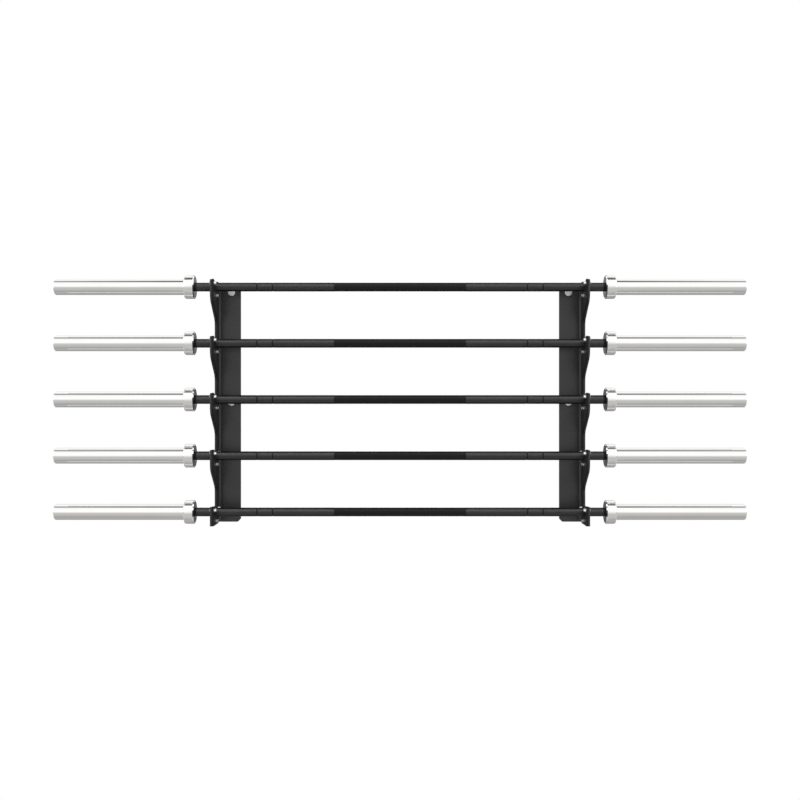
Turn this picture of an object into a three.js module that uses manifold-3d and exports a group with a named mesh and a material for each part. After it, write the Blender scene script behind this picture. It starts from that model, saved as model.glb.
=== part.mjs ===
// Wall-mounted barbell storage rack, loaded with five barbells.
// Two bent steel uprights carry five cradles each. A plastic liner is bolted to the inner face of each
// upright, and a barbell lies in each pair of cradles, its sleeves turning on bronze bushings.
//
// Millimetres. +X is right, +Y is towards the wall and +Z is up. The origin lies on the wall plane,
// midway between the uprights and level with the middle barbell. Barbells count 1 to 5 from the top.
// In the profile functions u is the distance from a barbell's axis towards the wall, and v is the
// height above that axis.

import * as THREE from "three";
import { mergeVertices } from "three/addons/utils/BufferGeometryUtils.js";
import Module from "manifold-3d";

const wasm = await Module();
wasm.setup();

// Driving dimensions of the whole rack
const BAR_COUNT = 5;
const BAR_PITCH = 179.3;
const BAR_TO_WALL = 92.4;
const UPRIGHT_TO_COLLAR = 55.5;

// Steel uprights
const STEEL_THICKNESS = 5;
const PLATE_WIDTH = 77.5;
const BEND_RADIUS = 8;
const PLATE_CORNER_CHAMFER = 10;
const TOP_RISE = 17.2;
const BOTTOM_DROP = 40.7;
const STEEL_TIP_RISE = 20.1;
const STEEL_SETBACK = 1.2;

// Hooks, shared by the uprights and the liners
const HOOK_REACH = 52;
const SPINE_SETBACK = 39.6;
const CRADLE_RADIUS = 16.5;
const FRONT_WALL_LEAN_DEGREES = 30;
const RAMP_LEAN_DEGREES = 43;
const SLOPE_TOP_DROP = 41.8;
const SLOPE_FOOT_DROP = 105;
const SLOPE_TOP_RADIUS = 38;
const SLOPE_FOOT_RADIUS = 30;
const RAMP_TOP_RADIUS = 8;
const LIP_RADIUS = 16;
const TIP_RADIUS = 3;

// Plastic liners
const LINER_THICKNESS = 5.5;
const LINER_BACK_SETBACK = 52.4;
const LINER_TIP_RISE = 21.3;

// Bolts through liner and steel. The front one is set in from the hook's front edge, and the other places
// are measured from the barbell's axis.
const FRONT_BOLT_INSET = 14;
const FRONT_BOLT_RISE = 8.9;
const LOWER_BOLT_SETBACK = 2;
const LOWER_BOLT_DROP = 27.5;
const LINER_BOLT_DIAMETER = 6;
const LINER_BOLT_HEAD_FLATS = 10;
const LINER_BOLT_HEAD_HEIGHT = 6;
const LINER_NUT_HEIGHT = 3.2;
const LINER_WASHER_DIAMETER = 12;
const LINER_WASHER_THICKNESS = 1.6;

// Bolts that hold each upright to the wall, spread evenly from the highest barbell to the lowest
const WALL_BOLT_COUNT = 3;
const WALL_BOLT_INSET = 47;
const WALL_BOLT_DROP = 9.1;
const WALL_BOLT_DIAMETER = 10;
const WALL_BOLT_HEAD_FLATS = 17;
const WALL_BOLT_HEAD_HEIGHT = 6.4;
const WALL_WASHER_DIAMETER = 23.5;
const WALL_WASHER_THICKNESS = 2.5;
const WALL_HOLE_CLEARANCE = 0.5;

// Barbells
const BAR_LENGTH = 2200;
const SHAFT_DIAMETER = 28;
const BETWEEN_COLLARS = 1306.4;
const COLLAR_DIAMETER = 75;
const COLLAR_WIDTH = 31.8;
const COLLAR_CHAMFER = 3;
const SLEEVE_DIAMETER = 50;
const SLEEVE_END_CHAMFER = 3;
const SLEEVE_BORE_DIAMETER = 30;
const JOURNAL_DIAMETER = 24.7;
const BUSHING_WALL = 4.35;
const BUSHING_LENGTH = 60;
const BUSHING_RECESS = 1.5;
const OUTER_LAND_LENGTH = 20;
const RING_DIAMETER = 27.6;
const RING_WIDTH = 3.5;
const RING_CHAMBER_LENGTH = 8;
const END_CAP_THICKNESS = 12;

// Clearances and cutting
const FIT = 0.3;
const SHANK_CLEARANCE = 0.4;
const OVERRUN = 4;

// Counts for round shapes
const ROUND_SIDES = 16;
const SHANK_SIDES = 8;
const WASHER_SIDES = 12;
const HEX_SIDES = 6;
const BEND_STEPS = 5;
const ARC_STEP_DEGREES = 15;
const ROUNDING_LIMIT_SHARE = 0.45;
const WELD_DISTANCE = 0.001;

// Places worked out from the sizes above
const frontWallLean = THREE.MathUtils.degToRad(FRONT_WALL_LEAN_DEGREES);
const rampLean = THREE.MathUtils.degToRad(RAMP_LEAN_DEGREES);
const arcStep = THREE.MathUtils.degToRad(ARC_STEP_DEGREES);
const cradleCentreRise = CRADLE_RADIUS - SHAFT_DIAMETER / 2 - FIT;
const collarInnerX = BETWEEN_COLLARS / 2;
const steelOuterX = collarInnerX - UPRIGHT_TO_COLLAR;
const steelInnerX = steelOuterX - STEEL_THICKNESS;
const linerOuterX = steelInnerX - FIT;
const linerInnerX = linerOuterX - LINER_THICKNESS;
const plateInnerX = steelOuterX - PLATE_WIDTH;
const barHeights = Array.from({ length: BAR_COUNT }, (_, i) => ((BAR_COUNT - 1) / 2 - i) * BAR_PITCH);
const highestBar = barHeights[0];
const lowestBar = barHeights[BAR_COUNT - 1];
const rackTop = highestBar + TOP_RISE;
const rackBottom = lowestBar - BOTTOM_DROP;
const linerBoltPlaces = {
  front: { towardsWall: FRONT_BOLT_INSET - HOOK_REACH, up: FRONT_BOLT_RISE },
  lower: { towardsWall: LOWER_BOLT_SETBACK, up: -LOWER_BOLT_DROP },
};

const blackSteel = new THREE.MeshStandardMaterial({ color: 0x2b2b2b, roughness: 0.55, metalness: 0.3 });
const blackPlastic = new THREE.MeshStandardMaterial({ color: 0x1c1c1c, roughness: 0.5, metalness: 0 });
const zinc = new THREE.MeshStandardMaterial({ color: 0xc8c8c4, roughness: 0.35, metalness: 0.9 });
const blackOxide = new THREE.MeshStandardMaterial({ color: 0x222222, roughness: 0.5, metalness: 0.6 });
const hardChrome = new THREE.MeshStandardMaterial({ color: 0xdcdcda, roughness: 0.15, metalness: 1 });
const bronze = new THREE.MeshStandardMaterial({ color: 0xa87c46, roughness: 0.4, metalness: 0.9 });

// Axes that turn a drawing into place: its first axis, its second axis and the way it is extruded
const sideView = new THREE.Matrix4().makeBasis(
  new THREE.Vector3(0, 1, 0),
  new THREE.Vector3(0, 0, 1),
  new THREE.Vector3(1, 0, 0),
);
const frontView = new THREE.Matrix4().makeBasis(
  new THREE.Vector3(1, 0, 0),
  new THREE.Vector3(0, 0, 1),
  new THREE.Vector3(0, -1, 0),
);
const alongX = new THREE.Matrix4().makeRotationZ(-Math.PI / 2);
const alongY = new THREE.Matrix4();

// A closed geometry as a solid that can be joined and cut.
function solidOf(geometry) {
  const bare = geometry.clone();
  bare.deleteAttribute("normal");
  bare.deleteAttribute("uv");
  const merged = mergeVertices(bare, WELD_DISTANCE);
  const mesh = new wasm.Mesh({
    numProp: 3,
    vertProperties: merged.getAttribute("position").array,
    triVerts: new Uint32Array(merged.index.array),
  });
  return new wasm.Manifold(mesh);
}

// A solid back as a geometry with flat-shaded faces.
function geometryOf(solid) {
  const mesh = solid.getMesh();
  const indexed = new THREE.BufferGeometry();
  indexed.setAttribute("position", new THREE.BufferAttribute(mesh.vertProperties, mesh.numProp));
  indexed.setIndex(new THREE.BufferAttribute(mesh.triVerts, 1));
  const flat = indexed.toNonIndexed();
  flat.computeVertexNormals();
  return flat;
}

// A drawing extruded by a length, turned by a view and moved so that the extrusion starts at start.
function extruded(points, length, view, start) {
  const geometry = new THREE.ExtrudeGeometry(new THREE.Shape(points), {
    depth: length,
    bevelEnabled: false,
  });
  geometry.translate(0, 0, start);
  geometry.applyMatrix4(view);
  return solidOf(geometry);
}

// A cylinder or prism from one place to another on an axis along X or Y, with a corner at its top.
function rod(radius, sides, from, to, direction) {
  const geometry = new THREE.CylinderGeometry(radius, radius, to - from, sides);
  geometry.translate(0, (from + to) / 2, 0);
  geometry.applyMatrix4(direction);
  return solidOf(geometry);
}

// The corner radius of a polygon whose flats lie at the given radius.
function cornerRadius(flatRadius, sides) {
  return flatRadius / Math.cos(Math.PI / sides);
}

// A solid of revolution about X, from a closed list of [place along X, radius].
function turned(profile) {
  const points = profile.map(([along, radius]) => new THREE.Vector2(radius, along));
  return new THREE.LatheGeometry(points, ROUND_SIDES).applyMatrix4(alongX);
}

// The outline through a list of corners [u, v, radius], each rounded as far as its edges allow.
function roundedOutline(corners) {
  const places = corners.map(([u, v]) => new THREE.Vector2(u, v));
  const points = [];
  corners.forEach(([, , radius], i) => {
    const corner = places[i];
    if (radius === 0) {
      points.push(corner.clone());
      return;
    }
    const back = places.at(i - 1).clone().sub(corner);
    const ahead = places[(i + 1) % places.length].clone().sub(corner);
    const half = Math.acos(back.clone().normalize().dot(ahead.clone().normalize())) / 2;
    const limit = ROUNDING_LIMIT_SHARE * Math.min(back.length(), ahead.length());
    const tangent = Math.min(radius / Math.tan(half), limit);
    const first = corner.clone().add(back.normalize().multiplyScalar(tangent));
    const last = corner.clone().add(ahead.normalize().multiplyScalar(tangent));
    const towardsCentre = first.clone().add(last).multiplyScalar(1 / 2).sub(corner).normalize();
    const centre = corner.clone().add(towardsCentre.multiplyScalar(tangent / Math.cos(half)));
    const turn = Math.sign(first.clone().sub(centre).cross(last.clone().sub(centre)));
    const sweep = Math.PI - 2 * half;
    const steps = Math.ceil(sweep / arcStep);
    for (let step = 0; step <= steps; step += 1) {
      points.push(first.clone().rotateAround(centre, (turn * sweep * step) / steps));
    }
  });
  return points;
}

// The corner below a cradle where its two leaning walls would meet, if its seat weren't round.
function cradleCorner(setback) {
  const reach = (CRADLE_RADIUS + setback) / Math.sin((frontWallLean + rampLean) / 2);
  const tilt = (rampLean - frontWallLean) / 2;
  return {
    u: -reach * Math.sin(tilt),
    v: cradleCentreRise - reach * Math.cos(tilt),
    radius: CRADLE_RADIUS + setback,
  };
}

// The side outline of an upright or a liner, from its top back corner down the hooks to its bottom back
// corner. The setback opens the cradles wider than the liner's seat.
function hookOutline({ backSetback, topRise, tipRise, setback, backRadius }) {
  const seat = cradleCorner(setback);
  const rampAt = (rise) => seat.u + (rise - seat.v) * Math.tan(rampLean);
  const rampTopRise = seat.v + (SPINE_SETBACK - seat.u) / Math.tan(rampLean);
  const lip = seat.u - (tipRise - seat.v) * Math.tan(frontWallLean);
  const corners = [[backSetback, highestBar + topRise, backRadius]];
  barHeights.forEach((height, i) => {
    const isFirst = i === 0;
    const isLast = i === BAR_COUNT - 1;
    if (isFirst) {
      corners.push([rampAt(topRise), height + topRise, TIP_RADIUS]);
    } else {
      corners.push([SPINE_SETBACK, height + rampTopRise, RAMP_TOP_RADIUS]);
    }
    corners.push([seat.u, height + seat.v, seat.radius]);
    corners.push([lip, height + tipRise, LIP_RADIUS]);
    corners.push([-HOOK_REACH, height + tipRise, TIP_RADIUS]);
    if (isLast) {
      corners.push([-HOOK_REACH, rackBottom, TIP_RADIUS]);
    } else {
      corners.push([-HOOK_REACH, height - SLOPE_TOP_DROP, SLOPE_TOP_RADIUS]);
      corners.push([SPINE_SETBACK, height - SLOPE_FOOT_DROP, SLOPE_FOOT_RADIUS]);
    }
  });
  corners.push([backSetback, rackBottom, backRadius]);
  const placed = corners.map(([u, v, radius]) => [u - BAR_TO_WALL, v, radius]);
  return roundedOutline(placed);
}

// The upright's cross-section: wall plate, bend and flange, with the flange running past the hooks.
function angleSection() {
  const outerBend = BEND_RADIUS + STEEL_THICKNESS;
  const flangeEnd = -(BAR_TO_WALL + HOOK_REACH + OVERRUN);
  const centre = new THREE.Vector2(steelOuterX - outerBend, -outerBend);
  const onBend = (radius, share) => {
    const angle = (share * Math.PI) / 2;
    return new THREE.Vector2(centre.x + radius * Math.cos(angle), centre.y + radius * Math.sin(angle));
  };
  const steps = Array.from({ length: BEND_STEPS + 1 }, (_, i) => i / BEND_STEPS);
  return [
    new THREE.Vector2(plateInnerX, -STEEL_THICKNESS),
    ...steps.map((share) => onBend(BEND_RADIUS, 1 - share)),
    new THREE.Vector2(steelInnerX, flangeEnd),
    new THREE.Vector2(steelOuterX, flangeEnd),
    ...steps.map((share) => onBend(outerBend, share)),
    new THREE.Vector2(plateInnerX, 0),
  ];
}

// The triangle that a corner of the wall plate loses.
function plateCorner(cornerZ, towardsMiddle) {
  const cut = PLATE_CORNER_CHAMFER + OVERRUN;
  const corner = [plateInnerX - OVERRUN, cornerZ - towardsMiddle * OVERRUN];
  const points = [
    new THREE.Vector2(corner[0], corner[1]),
    new THREE.Vector2(corner[0] + cut + OVERRUN, corner[1]),
    new THREE.Vector2(corner[0], corner[1] + towardsMiddle * (cut + OVERRUN)),
  ];
  return extruded(points, STEEL_THICKNESS + 2 * OVERRUN, frontView, -OVERRUN);
}

// Every liner bolt on one side: its name, and its Y and Z.
function linerBolts() {
  return Object.entries(linerBoltPlaces).flatMap(([arm, place]) =>
    barHeights.map((height, i) => ({
      name: `liner_${arm}_bolt_${i + 1}`,
      y: place.towardsWall - BAR_TO_WALL,
      z: height + place.up,
    })),
  );
}

// The heights of the wall bolts.
function wallBoltHeights() {
  const pitch = (highestBar - lowestBar) / (WALL_BOLT_COUNT - 1);
  return Array.from({ length: WALL_BOLT_COUNT }, (_, i) => highestBar - i * pitch - WALL_BOLT_DROP);
}

const wallBoltX = steelOuterX - WALL_BOLT_INSET;
const linerHoleRadius = cornerRadius(LINER_BOLT_DIAMETER / 2 + SHANK_CLEARANCE, SHANK_SIDES);
const wallHoleRadius = cornerRadius(WALL_BOLT_DIAMETER / 2 + WALL_HOLE_CLEARANCE, SHANK_SIDES);

// The holes for the liner bolts, through everything between two places along X.
function drillLinerHoles(solid, fromX, toX) {
  return linerBolts().reduce((left, { y, z }) => {
    const drill = rod(linerHoleRadius, SHANK_SIDES, fromX - OVERRUN, toX + OVERRUN, alongX);
    return left.subtract(drill.translate([0, y, z]));
  }, solid);
}

function makeUpright() {
  const section = extruded(angleSection(), rackTop - rackBottom + 2 * OVERRUN, new THREE.Matrix4(), 0);
  const bar = section.translate([0, 0, rackBottom - OVERRUN]);
  const outline = hookOutline({
    backSetback: BAR_TO_WALL + OVERRUN,
    topRise: TOP_RISE,
    tipRise: STEEL_TIP_RISE,
    setback: STEEL_SETBACK,
    backRadius: 0,
  });
  const sideCut = extruded(outline, PLATE_WIDTH + 2 * OVERRUN, sideView, plateInnerX - OVERRUN);
  let upright = bar.intersect(sideCut);
  upright = upright.subtract(plateCorner(rackBottom, 1));
  upright = upright.subtract(plateCorner(rackTop, -1));
  upright = drillLinerHoles(upright, steelInnerX, steelOuterX);
  wallBoltHeights().forEach((z) => {
    const drill = rod(wallHoleRadius, SHANK_SIDES, -STEEL_THICKNESS - OVERRUN, OVERRUN, alongY);
    upright = upright.subtract(drill.translate([wallBoltX, 0, z]));
  });
  return geometryOf(upright);
}

function makeLiner() {
  const outline = hookOutline({
    backSetback: LINER_BACK_SETBACK,
    topRise: LINER_TIP_RISE,
    tipRise: LINER_TIP_RISE,
    setback: 0,
    backRadius: TIP_RADIUS,
  });
  const sheet = extruded(outline, LINER_THICKNESS, sideView, linerInnerX);
  return geometryOf(drillLinerHoles(sheet, linerInnerX, linerOuterX));
}

// A liner bolt about the X axis: head and washer on the liner's face, and a nut on the steel's that the
// bolt ends level with.
function makeLinerBolt() {
  const headFace = linerInnerX - FIT;
  const headSeat = headFace - LINER_WASHER_THICKNESS;
  const headTop = headSeat - LINER_BOLT_HEAD_HEIGHT;
  const nutSeat = steelOuterX + FIT;
  const nutTop = nutSeat + LINER_NUT_HEIGHT;
  const hexRadius = cornerRadius(LINER_BOLT_HEAD_FLATS / 2, HEX_SIDES);
  const washerRadius = LINER_WASHER_DIAMETER / 2;
  const shank = rod(LINER_BOLT_DIAMETER / 2, SHANK_SIDES, headSeat, nutTop, alongX);
  const head = rod(hexRadius, HEX_SIDES, headTop, headSeat, alongX);
  const washer = rod(washerRadius, WASHER_SIDES, headSeat, headFace, alongX);
  const nut = rod(hexRadius, HEX_SIDES, nutSeat, nutTop, alongX);
  return geometryOf(shank.add(washer).add(head).add(nut));
}

// A wall bolt about the Y axis. Its shank ends just inside the plate, where the wall begins.
function makeWallBolt() {
  const washerFace = -STEEL_THICKNESS - FIT;
  const headSeat = washerFace - WALL_WASHER_THICKNESS;
  const hexRadius = cornerRadius(WALL_BOLT_HEAD_FLATS / 2, HEX_SIDES);
  const shank = rod(WALL_BOLT_DIAMETER / 2, SHANK_SIDES, headSeat, -FIT, alongY);
  const washer = rod(WALL_WASHER_DIAMETER / 2, WASHER_SIDES, headSeat, washerFace, alongY);
  const head = rod(hexRadius, HEX_SIDES, headSeat - WALL_BOLT_HEAD_HEIGHT, headSeat, alongY);
  return geometryOf(shank.add(washer).add(head));
}

// Places along the barbell where its pieces meet, from its middle outwards
const shoulderX = collarInnerX + BUSHING_RECESS - FIT;
const bushingStartX = collarInnerX + BUSHING_RECESS;
const bushingEndX = bushingStartX + BUSHING_LENGTH;
const sleeveEndX = BAR_LENGTH / 2;
const chamberEndX = sleeveEndX - END_CAP_THICKNESS;
const chamberStartX = chamberEndX - RING_CHAMBER_LENGTH;
const landStartX = chamberStartX - OUTER_LAND_LENGTH;
const ringStartX = chamberStartX + FIT;
const ringEndX = ringStartX + RING_WIDTH;
const journalRadius = JOURNAL_DIAMETER / 2;
const bushingOuterRadius = journalRadius + FIT + BUSHING_WALL;
const runningRadius = cornerRadius(journalRadius + FIT, ROUND_SIDES);

// The one-piece shaft: grip length between the collars, a journal at each end and a retaining ring.
function makeShaft() {
  const half = [
    [shoulderX, SHAFT_DIAMETER / 2],
    [shoulderX, journalRadius],
    [ringStartX, journalRadius],
    [ringStartX, RING_DIAMETER / 2],
    [ringEndX, RING_DIAMETER / 2],
    [ringEndX, 0],
  ];
  const otherHalf = half.map(([along, radius]) => [-along, radius]).reverse();
  return turned([...otherHalf, ...half]);
}

// The turning sleeve on the right: collar, loading length, bushing seat, outer land and end cap.
function makeSleeve() {
  const collarRadius = COLLAR_DIAMETER / 2;
  const collarOuterX = collarInnerX + COLLAR_WIDTH;
  const sleeveRadius = SLEEVE_DIAMETER / 2;
  const boreRadius = SLEEVE_BORE_DIAMETER / 2;
  const bushingSeatRadius = bushingOuterRadius + FIT;
  return turned([
    [chamberEndX, 0],
    [chamberEndX, boreRadius],
    [chamberStartX, boreRadius],
    [chamberStartX, runningRadius],
    [landStartX, runningRadius],
    [landStartX, boreRadius],
    [bushingEndX + FIT, boreRadius],
    [bushingEndX + FIT, bushingSeatRadius],
    [collarInnerX, bushingSeatRadius],
    [collarInnerX, collarRadius - COLLAR_CHAMFER],
    [collarInnerX + COLLAR_CHAMFER, collarRadius],
    [collarOuterX - COLLAR_CHAMFER, collarRadius],
    [collarOuterX, collarRadius - COLLAR_CHAMFER],
    [collarOuterX, sleeveRadius],
    [sleeveEndX - SLEEVE_END_CHAMFER, sleeveRadius],
    [sleeveEndX, sleeveRadius - SLEEVE_END_CHAMFER],
    [sleeveEndX, 0],
  ]);
}

function makeBushing() {
  return turned([
    [bushingEndX, runningRadius],
    [bushingStartX, runningRadius],
    [bushingStartX, bushingOuterRadius],
    [bushingEndX, bushingOuterRadius],
    [bushingEndX, runningRadius],
  ]);
}

function named(name, geometry, material) {
  const mesh = new THREE.Mesh(geometry, material);
  mesh.name = name;
  return mesh;
}

const uprightGeometry = makeUpright();
const linerGeometry = makeLiner();
const linerBoltGeometry = makeLinerBolt();
const wallBoltGeometry = makeWallBolt();
const shaftGeometry = makeShaft();
const sleeveGeometry = makeSleeve();
const bushingGeometry = makeBushing();

// One side of the rack, drawn on the right and mirrored for the left.
function makeSide(sideName, mirror) {
  const side = new THREE.Group();
  side.scale.x = mirror;
  side.add(named(`${sideName}_upright`, uprightGeometry, blackSteel));
  side.add(named(`${sideName}_liner`, linerGeometry, blackPlastic));
  linerBolts().forEach(({ name, y, z }) => {
    const bolt = named(`${sideName}_${name}`, linerBoltGeometry, zinc);
    bolt.position.set(0, y, z);
    side.add(bolt);
  });
  wallBoltHeights().forEach((z, i) => {
    const bolt = named(`${sideName}_wall_bolt_${i + 1}`, wallBoltGeometry, zinc);
    bolt.position.set(wallBoltX, 0, z);
    side.add(bolt);
  });
  return side;
}

// A barbell: its shaft, and a sleeve with its bushing at each end.
function makeBarbell(number, height) {
  const barbell = new THREE.Group();
  barbell.position.set(0, -BAR_TO_WALL, height);
  barbell.add(named(`shaft_${number}`, shaftGeometry, blackOxide));
  [["right", 1], ["left", -1]].forEach(([sideName, mirror]) => {
    const end = new THREE.Group();
    end.scale.x = mirror;
    end.add(named(`${sideName}_sleeve_${number}`, sleeveGeometry, hardChrome));
    end.add(named(`${sideName}_bushing_${number}`, bushingGeometry, bronze));
    barbell.add(end);
  });
  return barbell;
}

const rack = new THREE.Group();
rack.add(makeSide("right", 1));
rack.add(makeSide("left", -1));
barHeights.forEach((height, i) => rack.add(makeBarbell(i + 1, height)));

export default rack;
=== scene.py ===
import math

import bmesh
import bpy
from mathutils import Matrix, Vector


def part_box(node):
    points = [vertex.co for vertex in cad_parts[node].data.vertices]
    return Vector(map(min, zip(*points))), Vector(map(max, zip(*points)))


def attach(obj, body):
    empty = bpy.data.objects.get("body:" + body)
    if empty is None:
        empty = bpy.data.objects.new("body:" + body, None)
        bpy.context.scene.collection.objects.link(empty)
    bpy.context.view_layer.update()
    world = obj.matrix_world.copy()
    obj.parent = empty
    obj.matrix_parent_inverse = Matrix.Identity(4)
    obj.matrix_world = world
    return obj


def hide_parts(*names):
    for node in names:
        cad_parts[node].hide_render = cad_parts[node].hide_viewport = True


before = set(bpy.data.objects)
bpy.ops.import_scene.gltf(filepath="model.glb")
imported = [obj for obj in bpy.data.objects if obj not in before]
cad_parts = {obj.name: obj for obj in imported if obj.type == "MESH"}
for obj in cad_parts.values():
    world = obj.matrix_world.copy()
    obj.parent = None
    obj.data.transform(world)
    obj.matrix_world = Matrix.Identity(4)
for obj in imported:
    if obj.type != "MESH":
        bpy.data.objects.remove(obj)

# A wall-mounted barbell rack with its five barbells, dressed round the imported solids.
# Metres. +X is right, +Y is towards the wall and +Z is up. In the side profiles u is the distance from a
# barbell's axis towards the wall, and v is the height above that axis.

BAR_COUNT = 5
SIDES = {"left": -1, "right": 1}

# Side profile of the hooks
HOOK_REACH = 0.052
SPINE_SETBACK = 0.0396
CRADLE_RADIUS = 0.0165
CRADLE_CENTRE_RISE = 0.0022
FRONT_WALL_LEAN = math.radians(30)
RAMP_LEAN = math.radians(43)
SLOPE_TOP_DROP = 0.0418
SLOPE_FOOT_DROP = 0.105
SLOPE_TOP_RADIUS = 0.038
SLOPE_FOOT_RADIUS = 0.030
RAMP_TOP_RADIUS = 0.008
LIP_RADIUS = 0.016
TIP_RADIUS = 0.003

# Steel uprights
STEEL_THICKNESS = 0.005
OUTER_BEND_RADIUS = 0.013
PLATE_CORNER_CHAMFER = 0.010
STEEL_TIP_RISE = 0.0201
STEEL_SETBACK = 0.0012
STEEL_EDGE = 0.0003
BEND_CUTS = 10

# Plastic liners
LINER_BACK_SETBACK = 0.0524
LINER_EDGE = 0.0005

# Liner bolts, wall bolts and their holes
REAR_BOLT_PLACE = (0.042, 0.009)
LINER_BOLT_DIAMETER = 0.006
LINER_BOLT_FLATS = 0.010
LINER_BOLT_HEAD = 0.006
LINER_NUT = 0.0032
LINER_BOLT_END = 0.0002
LINER_WASHER_DIAMETER = 0.012
LINER_WASHER = 0.0016
LINER_HOLE_DIAMETER = 0.0068
WALL_BOLT_DIAMETER = 0.010
WALL_BOLT_FLATS = 0.017
WALL_BOLT_HEAD = 0.0064
WALL_WASHER_DIAMETER = 0.0235
WALL_WASHER = 0.0025
WALL_HOLE_DIAMETER = 0.011
SEAT_GAP = 0.00005
LINER_BOLT_SPIN = (math.radians(6), math.radians(14))
WALL_BOLT_SPIN = (0.0, math.radians(50))
LINER_BOLT_SEED = 3
LINER_NUT_SEED = 8
WALL_BOLT_SEED = 5

# Chamfers of heads, nuts, shanks and washers. A rim share is the flat top's part of the radius, and a
# spread is how far the chamfer's cone widens for each unit of height.
HEX_SIDES = 6
HEX_RIM_SHARE = 0.83
HEX_SPREAD = math.sqrt(3)
SHANK_SIDES = 32
SHANK_RIM_SHARE = 0.82
SHANK_SPREAD = 1.0
WASHER_SIDES = 48
WASHER_RIM_SHARE = 0.96
WASHER_SPREAD = 0.6
CONE_SIDES = 48

# Shafts
SHAFT_RADIUS = 0.014
SMOOTH_RADIUS = 0.01385
MARK_RADIUS = 0.0136
MARK_WIDTH = 0.0036
RING_MARKS = (0.405, 0.455)
KNURL_START = 0.210
KNURL_END = 0.647
KNURL_COUNT = 62
JOURNAL_RADIUS = 0.01235

# Bushings
BUSHING_RADIUS = 0.0170
BUSHING_BORE = 0.01265
BUSHING_LENGTH = 0.060
BUSHING_RECESS = 0.0015
BUSHING_EDGE = 0.0004

# Sleeves
COLLAR_RADIUS = 0.0375
COLLAR_WIDTH = 0.0318
COLLAR_CHAMFER = 0.003
COLLAR_EDGE = 0.0008
COLLAR_MOUTH_EDGE = 0.0005
SLEEVE_RADIUS = 0.025
SLEEVE_BORE = 0.015
SLEEVE_FILLET = 0.0012
SLEEVE_END_CHAMFER = 0.003
SLEEVE_SHOULDER_EDGE = 0.001
SLEEVE_END_EDGE = 0.0006
SLEEVE_RIM_EDGE = 0.0004

# End caps and the snap rings that hold them
CAP_RADIUS = 0.0205
CAP_RECESS = 0.0018
CAP_THICKNESS = 0.004
CAP_SEAT_DEPTH = 0.012
CAP_FIT = 0.0002
CAP_EDGE = 0.0003
CAP_DISH_DEPTH = CAP_THICKNESS / 3
CAP_DISH_EDGE = 0.0006
CAP_RIM_SHARE = 0.80
CAP_FLOOR_SHARE = 0.72
SNAP_WIRE = 0.0008
SNAP_GAP = math.radians(32)
SNAP_STEPS = 60
SNAP_SIDES = 10

# Counts and fineness
ARC_STEP = math.radians(5)
ROUNDING_LIMIT_SHARE = 0.45
ROUND_SEGMENTS = 72
HOLE_SEGMENTS = 28
EDGE_SEGMENTS = 2
SHARP_ANGLE = math.radians(38)
FASTENER_SHARP_ANGLE = SHARP_ANGLE / 2
FLAT_FACE_WEIGHT = 100
WELD = 1e-6

# The photograph's camera
LENS_MM = 50
SENSOR_MM = 36
CAMERA_DISTANCE = 3.544
CAMERA_DROP = 0.0015

# Floor and lights
FLOOR_DROP = 1.36
FLOOR_HALF_WIDTH = 2.6
FLOOR_FRONT = -4.4
FLOOR_BACK = 0.1
KEY_LIGHT = {"place": (0, -2.6, 2.4), "size": (3.4, 1.4), "watts": 55}
LOW_FILL = {"place": (0, -2.4, -1.2), "size": (3.4, 0.8), "watts": 10}

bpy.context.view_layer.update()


def middle(name):
    """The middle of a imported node's box."""
    low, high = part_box(name)
    return (low + high) / 2


bar_heights = [middle(f"shaft_{number}").z for number in range(1, BAR_COUNT + 1)]
bar_y = middle("shaft_1").y
plate_inner_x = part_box("right_upright")[0].x
steel_outer_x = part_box("right_upright")[1].x
rack_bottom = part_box("right_upright")[0].z
rack_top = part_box("right_upright")[1].z
liner_inner_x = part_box("right_liner")[0].x
liner_tip_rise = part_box("right_liner")[1].z - bar_heights[0]
collar_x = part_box("right_sleeve_1")[0].x
sleeve_end_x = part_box("right_sleeve_1")[1].x


# Meshes

def rounded(corners, closed=True):
    """The outline through corners (a, b, radius), with an arc at each corner that has a radius."""
    points = []
    count = len(corners)
    for index, (a, b, radius) in enumerate(corners):
        corner = Vector((a, b))
        if radius == 0 or (not closed and index in (0, count - 1)):
            points.append(corner)
            continue
        back = Vector(corners[index - 1][:2]) - corner
        ahead = Vector(corners[(index + 1) % count][:2]) - corner
        half = back.angle(ahead) / 2
        limit = ROUNDING_LIMIT_SHARE * min(back.length, ahead.length)
        tangent = min(radius / math.tan(half), limit)
        first = corner + back.normalized() * tangent
        last = corner + ahead.normalized() * tangent
        centre = corner + ((first + last) / 2 - corner).normalized() * (tangent / math.cos(half))
        start = math.atan2(*(first - centre).yx)
        sweep = math.remainder(math.atan2(*(last - centre).yx) - start, 2 * math.pi)
        steps = max(2, math.ceil(abs(sweep) / ARC_STEP))
        reach = (first - centre).length
        for step in range(steps + 1):
            angle = start + sweep * step / steps
            points.append(centre + reach * Vector((math.cos(angle), math.sin(angle))))
    return points


def circle(a, b, radius, count):
    """Points round a circle."""
    turns = [2 * math.pi * step / count for step in range(count)]
    return [Vector((a + radius * math.cos(turn), b + radius * math.sin(turn))) for turn in turns]


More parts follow.
